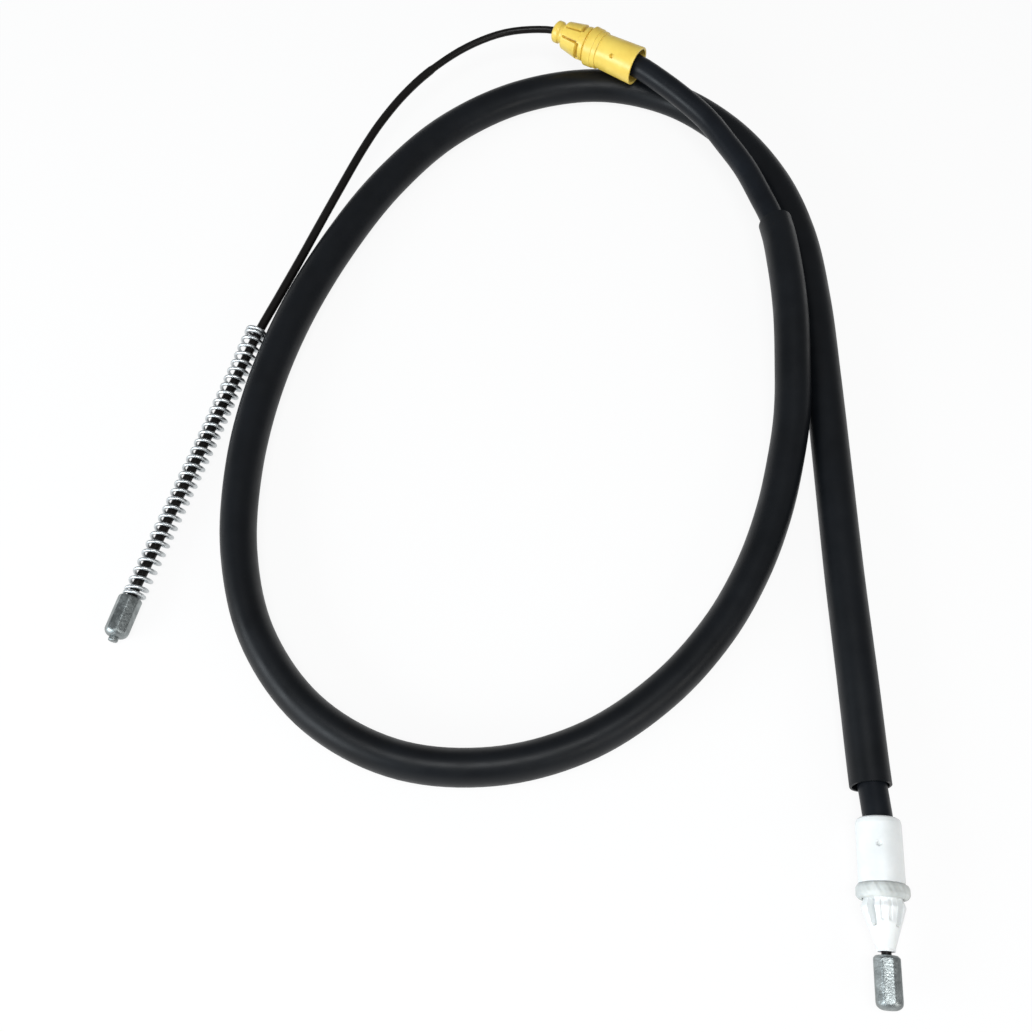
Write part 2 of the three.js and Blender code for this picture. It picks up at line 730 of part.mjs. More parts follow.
const collar = add_piece('sealing_collar', make_collar(), 0x9aa09e, 0.7, 0);
stand_along(collar, along(white_nose, white_inward, white_cone_length), white_inward, 0);

const yellow_cup = add_piece('yellow_end_cup', make_cup(), zinc, 0.4, 1);
stand_along(yellow_cup, along(yellow_nose, yellow_inward, yellow_bore_place + fit_gap), yellow_inward, 0);

const white_cup = add_piece('white_end_cup', make_cup(), zinc, 0.4, 1);
const white_cup_place = along(vector(white_open_end), white_outward, white_bore_depth - fit_gap);
stand_along(white_cup, white_cup_place, white_inward, 0);

export default cable;
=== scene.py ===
import math

import bpy
import numpy as np
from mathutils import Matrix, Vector


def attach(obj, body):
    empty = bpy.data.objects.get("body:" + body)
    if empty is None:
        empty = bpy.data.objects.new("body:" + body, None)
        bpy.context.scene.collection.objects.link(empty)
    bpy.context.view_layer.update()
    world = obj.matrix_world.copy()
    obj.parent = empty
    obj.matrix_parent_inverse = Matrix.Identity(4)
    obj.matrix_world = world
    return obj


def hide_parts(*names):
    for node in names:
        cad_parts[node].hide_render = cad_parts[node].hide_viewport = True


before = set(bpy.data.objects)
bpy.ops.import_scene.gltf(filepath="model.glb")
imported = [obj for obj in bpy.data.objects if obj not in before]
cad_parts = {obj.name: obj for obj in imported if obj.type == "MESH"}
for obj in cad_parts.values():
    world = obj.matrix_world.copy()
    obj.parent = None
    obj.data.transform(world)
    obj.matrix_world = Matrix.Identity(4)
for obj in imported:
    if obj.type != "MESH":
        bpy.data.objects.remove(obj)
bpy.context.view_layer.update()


MM = 0.001

# Camera
CAMERA_PLACE = (9.4 * MM, -238.5 * MM, 408.1 * MM)
CAMERA_TILT = math.radians(26.5)
SENSOR_WIDTH = 36.0
FOCAL_SHARE = 1140 / 1032
CAMERA_CLIP_START = 10 * MM


def make_camera():
    data = bpy.data.cameras.new("camera")
    data.sensor_width = SENSOR_WIDTH
    data.lens = SENSOR_WIDTH * FOCAL_SHARE
    data.clip_start = CAMERA_CLIP_START
    camera = bpy.data.objects.new("camera", data)
    camera.location = CAMERA_PLACE
    camera.rotation_euler = (CAMERA_TILT, 0, 0)
    bpy.context.collection.objects.link(camera)
    bpy.context.scene.camera = camera


make_camera()

# Sizes shared with the solids, in millimetres
FIT_GAP = 0.3
WIRE_GAP = 0.2
STRAND_DIAMETER = 2.4
CASING_COAT_DIAMETER = 3.3
LEAD_COAT_DIAMETER = 3.8
COAT_STEP_LENGTH = 2.0
LINER_BORE = 4.0
LINER_DIAMETER = 4.8
ARMOUR_BORE = 5.4
ARMOUR_DIAMETER = 7.8
JACKET_BORE = 8.8
JACKET_DIAMETER = 10.2
HOSE_DIAMETER = 15.0
HOSE_WALL = 0.9
HOSE_DRIFT = 0.6
HOSE_WIDTHS = [
    (0, 14.2), (0.08, 14.8), (0.15, 13.8), (0.2, 13.8), (0.31, 13.5), (0.37, 13.6),
    (0.43, 15.1), (0.5, 15.8), (0.7, 15.8), (0.85, 15.1), (1, 14.6),
]
YELLOW_LENGTH = 44.8
YELLOW_HEAD_LENGTH = 3.9
YELLOW_BORE_PLACE = 27.3
WHITE_SLEEVE_LENGTH = 21.8
WHITE_BORE_DEPTH = 20.2
WHITE_CONE_LENGTH = 16.4
COLLAR_LENGTH = 5.0
WHITE_LENGTH = WHITE_SLEEVE_LENGTH + COLLAR_LENGTH + WHITE_CONE_LENGTH
CUP_FLOOR = 1.0
SPRING_NIPPLE_LENGTH = 16.3
LEVER_NIPPLE_LENGTH = 16.6
LEVER_NIPPLE_STANDOFF = 1.2
NIPPLE_BORE_DEPTH = 13.0

# The cable's route, from the spring-end nipple to the lever-end nipple, as in the solids
LEAD_POINTS = [
    (-141.5, -88.2, 4.7), (-137.6, -72.4, 4.7), (-132.8, -55.7, 4.4), (-127.3, -36.4, 4.4), (-122.2, -18.9, 4.6),
    (-114.5, 6.6, 5.1), (-107.3, 28.3, 6.2), (-100.6, 48.1, 7.8), (-93.3, 65.9, 9.1), (-85, 86.6, 10.3),
    (-78.4, 103.6, 11.3), (-70.4, 124, 12.4), (-61.2, 145.7, 14.3), (-53.2, 161.3, 16.1), (-42.5, 177.6, 18),
    (-31, 190.5, 19.7), (-14.7, 203.7, 21.4), (1.7, 211.5, 22.7), (15.1, 213.8, 23.2),
]
COAT_STEP_POINT = 15
YELLOW_OPEN_END = (66.4, 189.5, 23.2)
YELLOW_HEADING = 148.1
CASING_POINTS = [
    (76.6, 180.6, 22.6), (87.3, 170.5, 21.2), (97.1, 159.3, 19.9), (105.1, 145.4, 19.1), (112.5, 130.7, 18.7),
    (117.8, 115.1, 18.5),
]
HOSE_POINTS = [
    (122.5, 100, 17.8), (124, 78, 18.5), (124.5, 54, 16.9), (123.5, 30.5, 13.9), (121.5, 7, 10.7),
    (116.5, -16, 8.7), (109.5, -39, 7.9), (99, -63, 7.9), (84, -87, 7.9), (62.5, -110, 7.85),
    (34.5, -128.5, 7.85), (2, -137.5, 7.85), (-33, -135, 7.85), (-64, -118.5, 7.85), (-86, -90.5, 7.8),
    (-97, -56.5, 7.55), (-99.5, -18.5, 7.15), (-95.5, 19.5, 6.85), (-85.5, 58, 6.7), (-69.5, 97, 6.6),
    (-49, 133.5, 6.6), (-22, 165.5, 6.6), (12, 187, 6.65), (50, 194.5, 6.65), (83.5, 185.5, 6.7),
    (109, 164.5, 6.8), (127, 135, 6.9), (136, 102.5, 7), (138.5, 66, 7.1), (138, 24.5, 7.25),
    (136.8, -20.5, 7.4), (135.6, -65, 7.5), (135.1, -105, 7.7), (134.5, -144.9, 7.75),
]
WHITE_OPEN_END = (134.4, -156.5, 8.95)
WHITE_HEADING = -94.4
SPANS_PER_POINT = 40
ARC_NUDGE = 1e-9
UP = np.array([0.0, 0.0, 1.0])


def heading(degrees):
    angle = math.radians(degrees)
    return np.array([math.cos(angle), math.sin(angle), 0.0])


YELLOW_OUT = heading(YELLOW_HEADING)
WHITE_OUT = heading(WHITE_HEADING)
YELLOW_NOSE = np.array(YELLOW_OPEN_END) + YELLOW_OUT * YELLOW_LENGTH
WHITE_NOSE = np.array(WHITE_OPEN_END) + WHITE_OUT * WHITE_LENGTH
LEVER_MOUTH = WHITE_NOSE + WHITE_OUT * LEVER_NIPPLE_STANDOFF


class Route:
    """A centripetal spline through the cable's points, measured along its length."""

    def __init__(self, points):
        self.points = np.array(points, float)
        self.places = self.sample()
        steps = np.linalg.norm(np.diff(self.places, axis=0), axis=1)
        self.arcs = np.concatenate([[0.0], np.cumsum(steps)])
        slopes = np.gradient(self.places, self.arcs + np.arange(len(self.arcs)) * ARC_NUDGE, axis=0)
        self.slopes = slopes / np.linalg.norm(slopes, axis=1)[:, None]

    def sample(self):
        points = self.points
        ends = [2 * points[0] - points[1], *points, 2 * points[-1] - points[-2]]
        shares = np.arange(SPANS_PER_POINT)[:, None] / SPANS_PER_POINT
        stretches = [self.span(*ends[i:i + 4], shares) for i in range(len(points) - 1)]
        return np.concatenate([*stretches, points[-1:]])

    @staticmethod
    def span(before, start, end, after, share):
        lengths = [math.sqrt(np.linalg.norm(step)) for step in (start - before, end - start, after - end)]
        first, middle, last = lengths
        start_slope = ((start - before) / first - (end - before) / (first + middle)) * middle + (end - start)
        end_slope = ((after - end) / last - (after - start) / (middle + last)) * middle + (end - start)
        square = -3 * start + 3 * end - 2 * start_slope - end_slope
        cube = 2 * start - 2 * end + start_slope + end_slope
        return start + start_slope * share + square * share**2 + cube * share**3

    def arc_of(self, index):
        return self.arcs[index * SPANS_PER_POINT]

    def frames(self, arcs):
        arcs = np.asarray(arcs, float)
        place = np.stack([np.interp(arcs, self.arcs, self.places[:, axis]) for axis in range(3)], axis=1)
        tangent = np.stack([np.interp(arcs, self.arcs, self.slopes[:, axis]) for axis in range(3)], axis=1)
        tangent /= np.linalg.norm(tangent, axis=1)[:, None]
        side = np.cross(UP, tangent)
        side /= np.linalg.norm(side, axis=1)[:, None]
        rise = np.cross(tangent, side)
        return place, tangent, side, rise


def on_axis(place, direction, distance):
    return np.asarray(place, float) + direction * distance


route_points = [
    *LEAD_POINTS,
    YELLOW_NOSE,
    on_axis(YELLOW_NOSE, YELLOW_OUT, -YELLOW_HEAD_LENGTH),
    on_axis(YELLOW_NOSE, YELLOW_OUT, -YELLOW_BORE_PLACE),
    YELLOW_OPEN_END,
    *CASING_POINTS,
    *HOSE_POINTS,
    WHITE_OPEN_END,
    on_axis(WHITE_OPEN_END, WHITE_OUT, WHITE_BORE_DEPTH),
    WHITE_NOSE,
    LEVER_MOUTH,
    on_axis(LEVER_MOUTH, WHITE_OUT, LEVER_NIPPLE_LENGTH),
]
route = Route(route_points)
yellow_nose_index = len(LEAD_POINTS)
yellow_end_index = yellow_nose_index + 3
hose_start_index = yellow_end_index + len(CASING_POINTS) + 1
hose_end_index = hose_start_index + len(HOSE_POINTS) - 1
white_end_index = hose_end_index + 1
lever_mouth_index = white_end_index + 3

nipple_mouth_arc = route.arc_of(1)
coat_step_arc = route.arc_of(COAT_STEP_POINT)
yellow_nose_arc = route.arc_of(yellow_nose_index)
hose_start_arc = route.arc_of(hose_start_index)
hose_end_arc = route.arc_of(hose_end_index)
white_end_arc = route.arc_of(white_end_index)
lever_mouth_arc = route.arc_of(lever_mouth_index)
strand_arcs = (nipple_mouth_arc - NIPPLE_BORE_DEPTH + FIT_GAP, lever_mouth_arc + NIPPLE_BORE_DEPTH - FIT_GAP)
coat_arcs = (nipple_mouth_arc + FIT_GAP, lever_mouth_arc - FIT_GAP)
casing_arcs = (
    yellow_nose_arc + YELLOW_BORE_PLACE + CUP_FLOOR + 2 * FIT_GAP,
    white_end_arc + WHITE_BORE_DEPTH - CUP_FLOOR - 2 * FIT_GAP,
)


# Meshes
TUBE_SHARP_ANGLE = 40
TUBE_EDGE = 0.12


def make_piece(name, points, faces, material, sharp_angle=TUBE_SHARP_ANGLE):
    mesh = bpy.data.meshes.new(name)
    mesh.from_pydata((np.asarray(points) * MM).tolist(), [], faces)
    mesh.polygons.foreach_set("use_smooth", [True] * len(mesh.polygons))
    mesh.set_sharp_from_angle(angle=math.radians(sharp_angle))
    mesh.materials.append(material)
    mesh.update()
    piece = bpy.data.objects.new(name, mesh)
    bpy.context.collection.objects.link(piece)
    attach(piece, "root")
    return piece


def ring_faces(rings, sides, closed_loop=False):
    """Quads between rings of points, each ring counted by sides."""
    faces = []
    last = rings if closed_loop else rings - 1
    for ring in range(last):
        start = ring * sides
        after = ((ring + 1) % rings) * sides
        for side in range(sides):
            turn = (side + 1) % sides
            faces.append((start + side, start + turn, after + turn, after + side))
    return faces


def tube_points(place, side, rise, radii, sides):
    angles = np.arange(sides) * 2 * math.pi / sides
    radii = np.broadcast_to(np.asarray(radii, float), (len(place),))
    around = np.cos(angles)[None, :, None] * side[:, None] + np.sin(angles)[None, :, None] * rise[:, None]
    return (place[:, None] + around * radii[:, None, None]).reshape(-1, 3)


def make_tube(name, frames, outer, bore, sides, material, edge=TUBE_EDGE):
    """A tube with small edges at its two cut ends. A bore of 0 makes a solid cord."""
    place, tangent, side, rise = frames
    count = len(place)
    radii = np.broadcast_to(np.asarray(outer, float), (count,)).copy()
    radii[[0, -1]] -= edge
    edged = place.copy()
    edged[1] = place[0] + tangent[0] * edge
    edged[-2] = place[-1] - tangent[-1] * edge
    outside = tube_points(edged, side, rise, radii, sides)
    if bore > 0:
        inside = tube_points(place, side, rise, bore, sides).reshape(count, sides, 3)[::-1].reshape(-1, 3)
        faces = ring_faces(2 * count, sides, closed_loop=True)
        return make_piece(name, np.concatenate([outside, inside]), faces, material)
    faces = ring_faces(count, sides)
    faces.append(tuple(range(sides))[::-1])
    faces.append(tuple((count - 1) * sides + index for index in range(sides)))
    return make_piece(name, outside, faces, material)


def spread(start, end, step):
    count = max(2, round((end - start) / step))
    return np.linspace(start, end, count + 1)


# Materials: the scales are cells a metre
SHEATH_SPECULAR = 0.19
SHEATH_MOTTLE_SCALE = 38
SHEATH_SHINE_SCALE = 120
SHEATH_GRAIN_SCALE = 900
SHEATH_GRAIN_STRENGTH = 0.25
SHEATH_DARKER = 0.72
SHEATH_LIGHTER = 1.35
DUST_SCALE = 130
DUST_SIZE = 0.055
STEEL_MOTTLE_SCALE = 260
STEEL_SHINE_SCALE = 700
STEEL_GRAIN_STRENGTH = 0.5
PLASTIC_CLOUD_SCALE = 150
PLASTIC_SHINE_SCALE = 420
PLASTIC_GRAIN_SCALE = 1500
PLASTIC_GRAIN_STRENGTH = 0.2
PLASTIC_GRAIN = 0.00002
PLASTIC_SCATTER = (0.002, 0.0015, 0.001)
PLASTIC_SCATTER_SCALE = 0.5


def new_material(name):
    material = bpy.data.materials.new(name)
    material.use_nodes = True
    nodes = material.node_tree.nodes
    return material, nodes, material.node_tree.links, nodes["Principled BSDF"]


def noise(nodes, links, vector, scale, detail=4.0, roughness=0.55):
    node = nodes.new("ShaderNodeTexNoise")
    node.inputs["Scale"].default_value = scale
    node.inputs["Detail"].default_value = detail
    node.inputs["Roughness"].default_value = roughness
    links.new(vector, node.inputs["Vector"])
    return node.outputs["Fac"]


def object_vector(nodes, links, stretch=(1, 1, 1)):
    place = nodes.new("ShaderNodeTexCoord")
    mapping = nodes.new("ShaderNodeMapping")
    mapping.inputs["Scale"].default_value = stretch
    links.new(place.outputs["Object"], mapping.inputs["Vector"])
    return mapping.outputs["Vector"]


def ramp(nodes, links, value, stops):
    node = nodes.new("ShaderNodeValToRGB")
    elements = node.color_ramp.elements
    while len(elements) < len(stops):
        elements.new(0.5)
    for element, (position, color) in zip(elements, stops):
        element.position = position
        element.color = (*color, 1.0)
    links.new(value, node.inputs["Fac"])
    return node.outputs["Color"]


def grey(value):
    return (value, value, value)


def mix_colors(nodes, links, factor, first, second):
    node = nodes.new("ShaderNodeMix")
    node.data_type = "RGBA"
    links.new(factor, node.inputs["Factor"])
    for socket, value in ((node.inputs[6], first), (node.inputs[7], second)):
        if isinstance(value, tuple):
            socket.default_value = (*value, 1.0)
        else:
            links.new(value, socket)
    return node.outputs[2]


def bump(nodes, links, height, strength, distance):
    node = nodes.new("ShaderNodeBump")
    node.inputs["Strength"].default_value = strength
    node.inputs["Distance"].default_value = distance
    links.new(height, node.inputs["Height"])
    return node.outputs["Normal"]


def black_sheath(name, color, roughness, speck_share, speck_color, grain):
    """Extruded black plastic or rubber: faint mottling, fine grain and sparse dust specks."""
    material, nodes, links, shader = new_material(name)
    vector = object_vector(nodes, links)
    broad = noise(nodes, links, vector, SHEATH_MOTTLE_SCALE)
    fine = noise(nodes, links, vector, SHEATH_GRAIN_SCALE)
    dark = tuple(channel * SHEATH_DARKER for channel in color)
    light = tuple(channel * SHEATH_LIGHTER for channel in color)
    mottled = ramp(nodes, links, broad, [(0.3, dark), (0.7, light)])
    dust = nodes.new("ShaderNodeTexVoronoi")
    dust.inputs["Scale"].default_value = DUST_SCALE
    links.new(vector, dust.inputs["Vector"])
    near = ramp(nodes, links, dust.outputs["Distance"], [(0.0, grey(1.0)), (DUST_SIZE, grey(0.0))])
    chosen = ramp(nodes, links, dust.outputs["Color"], [(speck_share, grey(1.0)), (speck_share + 0.01, grey(0.0))])
    speck = nodes.new("ShaderNodeMath")
    speck.operation = "MULTIPLY"
    links.new(near, speck.inputs[0])
    links.new(chosen, speck.inputs[1])
    links.new(mix_colors(nodes, links, speck.outputs[0], mottled, speck_color), shader.inputs["Base Color"])
    shine = noise(nodes, links, vector, SHEATH_SHINE_SCALE)
    rough = ramp(nodes, links, shine, [(0.3, grey(roughness - 0.05)), (0.7, grey(roughness + 0.07))])
    links.new(rough, shader.inputs["Roughness"])
    shader.inputs["Specular IOR Level"].default_value = SHEATH_SPECULAR
    links.new(bump(nodes, links, fine, SHEATH_GRAIN_STRENGTH, grain), shader.inputs["Normal"])
    return material


def steel(name, color, roughness, grain_scale, grain, mottle=0.2):
    """Plated or drawn steel with mottled brightness and a pebbled grain."""
    material, nodes, links, shader = new_material(name)
    vector = object_vector(nodes, links)
    broad = noise(nodes, links, vector, STEEL_MOTTLE_SCALE)
    dark = tuple(channel * (1 - mottle) for channel in color)
    light = tuple(min(1.0, channel * (1 + mottle)) for channel in color)
    links.new(ramp(nodes, links, broad, [(0.3, dark), (0.72, light)]), shader.inputs["Base Color"])
    shader.inputs["Metallic"].default_value = 1.0
    shine = noise(nodes, links, vector, STEEL_SHINE_SCALE)
    rough = ramp(nodes, links, shine, [(0.3, grey(roughness - 0.08)), (0.7, grey(roughness + 0.1))])
    links.new(rough, shader.inputs["Roughness"])
    pebbles = noise(nodes, links, vector, grain_scale, 2.0)
    links.new(bump(nodes, links, pebbles, STEEL_GRAIN_STRENGTH, grain), shader.inputs["Normal"])
    return material


def moulded(name, shade, color, roughness, subsurface=0.0):
    """Moulded plastic: a slightly uneven colour, faint flow marks and a soft grain."""
    material, nodes, links, shader = new_material(name)
    vector = object_vector(nodes, links)
    cloud = noise(nodes, links, vector, PLASTIC_CLOUD_SCALE)
    links.new(ramp(nodes, links, cloud, [(0.3, shade), (0.65, color)]), shader.inputs["Base Color"])
    shine = noise(nodes, links, vector, PLASTIC_SHINE_SCALE)
    rough = ramp(nodes, links, shine, [(0.3, grey(roughness - 0.05)), (0.7, grey(roughness + 0.08))])
    links.new(rough, shader.inputs["Roughness"])
    shader.inputs["Subsurface Weight"].default_value = subsurface
    shader.inputs["Subsurface Radius"].default_value = PLASTIC_SCATTER
    shader.inputs["Subsurface Scale"].default_value = PLASTIC_SCATTER_SCALE
    fine = noise(nodes, links, vector, PLASTIC_GRAIN_SCALE)
    links.new(bump(nodes, links, fine, PLASTIC_GRAIN_STRENGTH, PLASTIC_GRAIN), shader.inputs["Normal"])
    return material


hose_material = black_sheath("hose_black", (0.0045, 0.0055, 0.007), 0.42, 0.12, (0.3, 0.3, 0.3), 0.00003)
jacket_material = black_sheath("jacket_black", (0.0048, 0.0062, 0.0086), 0.38, 0.06, (0.25, 0.25, 0.25), 0.00002)
coat_material = black_sheath("coat_black", (0.0065, 0.0056, 0.0052), 0.32, 0.05, (0.25, 0.25, 0.25), 0.00001)
liner_material = moulded("liner_pale", (0.6, 0.6, 0.56), (0.78, 0.78, 0.74), 0.4)
strand_material = steel("strand_steel", (0.45, 0.46, 0.47), 0.35, 1500, 0.00003)
armour_material = steel("armour_steel", (0.4, 0.41, 0.42), 0.42, 900, 0.00003)
spring_material = steel("spring_zinc", (0.6, 0.625, 0.635), 0.4, 1200, 0.00001, 0.12)
nipple_material = steel("nipple_steel", (0.28, 0.305, 0.305), 0.4, 1300, 0.0003, 0.35)
cup_material = steel("cup_steel", (0.6, 0.61, 0.62), 0.35, 900, 0.00002)
yellow_material = moulded("yellow_plastic", (0.74, 0.52, 0.085), (0.81, 0.6, 0.115), 0.33, 0.05)
white_material = moulded("white_plastic", (0.7, 0.72, 0.715), (0.77, 0.785, 0.78), 0.38, 0.05)
collar_material = moulded("collar_rubber", (0.4, 0.42, 0.41), (0.62, 0.64, 0.62), 0.6, 0.1)

# Cords, with the steps between their rings in millimetres
HOSE_STEP = 4
CASING_STEP = 5
COAT_STEP = 4
COAT_CHANGE_STEPS = 6
COAT_EDGE = 0.08
HOSE_SIDES = 40
JACKET_SIDES = 28
COAT_SIDES = 16
STRAND_SIDES = 12
LINER_SIDES = 14
ARMOUR_SIDES = 16

hose_arcs = spread(hose_start_arc, hose_end_arc, HOSE_STEP)


def hose_frames(arcs):
    place, tangent, side, rise = route.frames(arcs)
    share = (arcs - hose_start_arc) / (hose_end_arc - hose_start_arc)
    places, widths = zip(*HOSE_WIDTHS)
    squash = np.interp(share, places, widths) / HOSE_DIAMETER
    place = place + side * (HOSE_DRIFT * np.cos(math.pi * share))[:, None]
    place = place + rise * (HOSE_DRIFT * np.sin(math.pi * share))[:, None]
    return place, tangent, side * squash[:, None], rise * (2 - squash)[:, None]


hose_radius = HOSE_DIAMETER / 2
hose = make_tube(
    "hose", hose_frames(hose_arcs), hose_radius, hose_radius - HOSE_WALL, HOSE_SIDES, hose_material,
)
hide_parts("protective_hose")

jacket_arcs = spread(*casing_arcs, CASING_STEP)
jacket = make_tube(
    "jacket", route.frames(jacket_arcs), JACKET_DIAMETER / 2, JACKET_BORE / 2, JACKET_SIDES, jacket_material,
)
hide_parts("conduit_jacket")

coat_stations = np.unique(np.concatenate([
    spread(*coat_arcs, COAT_STEP),
    np.linspace(coat_step_arc, coat_step_arc + COAT_STEP_LENGTH, COAT_CHANGE_STEPS),
]))
coat_share = np.clip((coat_stations - coat_step_arc) / COAT_STEP_LENGTH, 0, 1)
coat_radii = (LEAD_COAT_DIAMETER + (CASING_COAT_DIAMETER - LEAD_COAT_DIAMETER) * coat_share) / 2
coat = make_tube(
    "coat", route.frames(coat_stations), coat_radii, STRAND_DIAMETER / 2 + WIRE_GAP, COAT_SIDES, coat_material,
    COAT_EDGE,
)
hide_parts("wire_coating")


def layer(name, node, arcs, diameter, bore, sides, material):
    piece = make_tube(name, route.frames(spread(*arcs, CASING_STEP)), diameter / 2, bore / 2, sides, material)
    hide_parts(node)
    return piece


strand = layer("strand", "inner_wire", strand_arcs, STRAND_DIAMETER, 0, STRAND_SIDES, strand_material)
liner = layer("liner", "conduit_liner", casing_arcs, LINER_DIAMETER, LINER_BORE, LINER_SIDES, liner_material)
armour = layer(
    "armour", "conduit_armour", casing_arcs, ARMOUR_DIAMETER, ARMOUR_BORE, ARMOUR_SIDES, armour_material,
)


# Turned pieces, each about its own axis, with an optional shape around it
def rounded_outline(points, radius=0.25, steps=3, closed_loop=True):
    """The outline with its corners turned into short arcs."""
    points = [np.array(point, float) for point in points]
    count = len(points)
    outline = []
    for index, corner in enumerate(points):
        if not closed_loop and index in (0, count - 1):
            outline.append(corner)
            continue
        before = points[index - 1] - corner
        after = points[(index + 1) % count] - corner
        reach = min(radius, 0.4 * np.linalg.norm(before), 0.4 * np.linalg.norm(after))
        start = corner + before / np.linalg.norm(before) * reach
        end = corner + after / np.linalg.norm(after) * reach
        for share in np.linspace(0, 1, steps + 1):
            outline.append((1 - share)**2 * start + 2 * share * (1 - share) * corner + share**2 * end)
    return np.array(outline)


def fine_outline(outline, step, closed_loop=True):
    """The outline with long edges cut into steps."""
    ends = np.roll(outline, -1, axis=0) if closed_loop else outline[1:]
    starts = outline if closed_loop else outline[:-1]
    parts = []
    for start, end in zip(starts, ends):
        count = max(1, math.ceil(np.linalg.norm(end - start) / step))
        parts.append(start + (end - start) * (np.arange(count) / count)[:, None])
    if not closed_loop:
        parts.append(outline[-1:])
    return np.concatenate(parts)


def smooth_step(value, start, end):
    share = np.clip((value - start) / (end - start), 0, 1)
    return share * share * (3 - 2 * share)


def angle_from(angle, middle):
    """The angle in degrees from a middle direction, from -180 to 180."""
    return (angle - middle + 180) % 360 - 180


def make_turned(name, outline, sides, place, direction, roll, material, shape=None, sharp_angle=35):
    """Turns an outline of radius and height about its axis. shape(radius, height, degrees) gives the radius there."""
    direction = direction / np.linalg.norm(direction)
    across = np.cross(UP, direction)
    across /= np.linalg.norm(across)
    rise = np.cross(direction, across)
    degrees = np.arange(sides) * 360 / sides
    radius = np.repeat(outline[:, :1], sides, axis=1)
    height = np.repeat(outline[:, 1:], sides, axis=1)
    around = np.repeat(degrees[None], len(outline), axis=0)
    if shape is not None:
        radius = shape(radius, height, around)
    angles = np.radians(around + roll)
    points = (
        np.asarray(place, float)
        + across * (radius * np.cos(angles))[..., None]
        + rise * (radius * np.sin(angles))[..., None]
        + direction * height[..., None]
    ).reshape(-1, 3)
    on_axis_ends = outline[0, 0] < 1e-6 and outline[-1, 0] < 1e-6
    if not on_axis_ends:
        return make_piece(name, points, ring_faces(len(outline), sides, closed_loop=True), material, sharp_angle)
    rings = len(outline) - 2
    body = points[sides:-sides]
    first, last = len(body), len(body) + 1
    body = np.concatenate([body, points[:1], points[-1:]])
    faces = ring_faces(rings, sides)
    faces += [(first, (side + 1) % sides, side) for side in range(sides)]
    start = (rings - 1) * sides
    faces += [(last, start + side, start + (side + 1) % sides) for side in range(sides)]
    return make_piece(name, body, faces, material, sharp_angle)


def carve(radius, core, mask):
    """Lowers the surface towards a core radius where the mask is 1."""
    return radius - np.maximum(0, radius - core) * mask


def window(value, start, end, soft):
    """1 between the start and the end, falling to 0 over a soft length at each."""
    rise = smooth_step(value, start - soft / 2, start + soft / 2)
    return rise * (1 - smooth_step(value, end - soft / 2, end + soft / 2))


def pin_mask(radius, height, degrees, hole, wall):
    """1 in a round hole given by height and angle, falling to 0 between the wall's two radii."""
    across = np.radians(angle_from(degrees, hole[1])) * radius
    return 1 - smooth_step(np.hypot(height - hole[0], across), *wall)


# Yellow clip, from its nose. A wall is where a slot's side starts and ends, a reach is start, end and softness
YELLOW_ROLL = 34.2
YELLOW_SIDES = 264
YELLOW_CORE = 4.4
YELLOW_FINGERS_END = 18
YELLOW_RIB_MIDDLE = 90
YELLOW_RIB_SPACING = 120
YELLOW_RIB_ANGLE = 42
YELLOW_RIB_FADE = 3
YELLOW_SLOT_WALL = (3.0, 5.0)
YELLOW_SLOT_REACH = (6.7, 14.8, 0.6)
YELLOW_SLOT_FLOOR = 4.7
YELLOW_GAP_REACH = (14.7, 16.2, 0.3)
YELLOW_GAP_FLOOR = 5.4
YELLOW_PIN_HOLE = (33.8, 104.4)
YELLOW_PIN_WALL = (0.75, 1.05)
YELLOW_PIN_FLOOR = 6.6
YELLOW_SLEEVE_INSIDE = 7
YELLOW_SLEEVE_END = 40
CLIP_ROUNDING = 0.35
YELLOW_RING_STEP = 0.25
YELLOW_OUTLINE = [
    (2.3, 0), (4.2, 0), (5.1, 0.9), (5.1, 3.0), (4.4, 3.9), (4.4, 5.8), (6.3, 5.8), (8.0, 14.3), (8.0, 15.1),
    (7.9, 15.1), (7.9, 18.3), (7.0, 18.3), (7.0, 19.0), (8.2, 19.5), (9.1, 19.5), (8.9, 23.4), (8.6, 23.4),
    (8.6, 25.7), (7.95, 25.7), (8.75, 44.8), (7.6, 44.8), (7.6, 40.8), (6.3, 40.8), (6.3, 27.3), (2.3, 27.3),
]


def yellow_shape(radius, height, degrees):
    fingers = (radius > YELLOW_CORE) & (height < YELLOW_FINGERS_END)
    from_rib = np.abs(angle_from(degrees, YELLOW_RIB_MIDDLE))
    from_rib = np.abs((from_rib + YELLOW_RIB_SPACING / 2) % YELLOW_RIB_SPACING - YELLOW_RIB_SPACING / 2)
    from_slot = np.abs(from_rib - YELLOW_RIB_ANGLE / 2)
    slot = (1 - smooth_step(from_slot, *YELLOW_SLOT_WALL)) * window(height, *YELLOW_SLOT_REACH)
    free = smooth_step(from_rib, YELLOW_RIB_ANGLE / 2, YELLOW_RIB_ANGLE / 2 + YELLOW_RIB_FADE)
    gap = free * window(height, *YELLOW_GAP_REACH)
    shaped = carve(carve(radius, YELLOW_SLOT_FLOOR, slot), YELLOW_GAP_FLOOR, gap)
    radius = np.where(fingers, shaped, radius)
    pin = pin_mask(radius, height, degrees, YELLOW_PIN_HOLE, YELLOW_PIN_WALL)
    on_sleeve = (radius > YELLOW_SLEEVE_INSIDE) & (height < YELLOW_SLEEVE_END)
    return np.where(on_sleeve, carve(radius, YELLOW_PIN_FLOOR, pin), radius)


yellow_clip = make_turned(
    "yellow_clip", fine_outline(rounded_outline(YELLOW_OUTLINE, CLIP_ROUNDING), YELLOW_RING_STEP), YELLOW_SIDES,
    YELLOW_NOSE, -YELLOW_OUT, YELLOW_ROLL, yellow_material, yellow_shape,
)
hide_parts("yellow_end_clip")

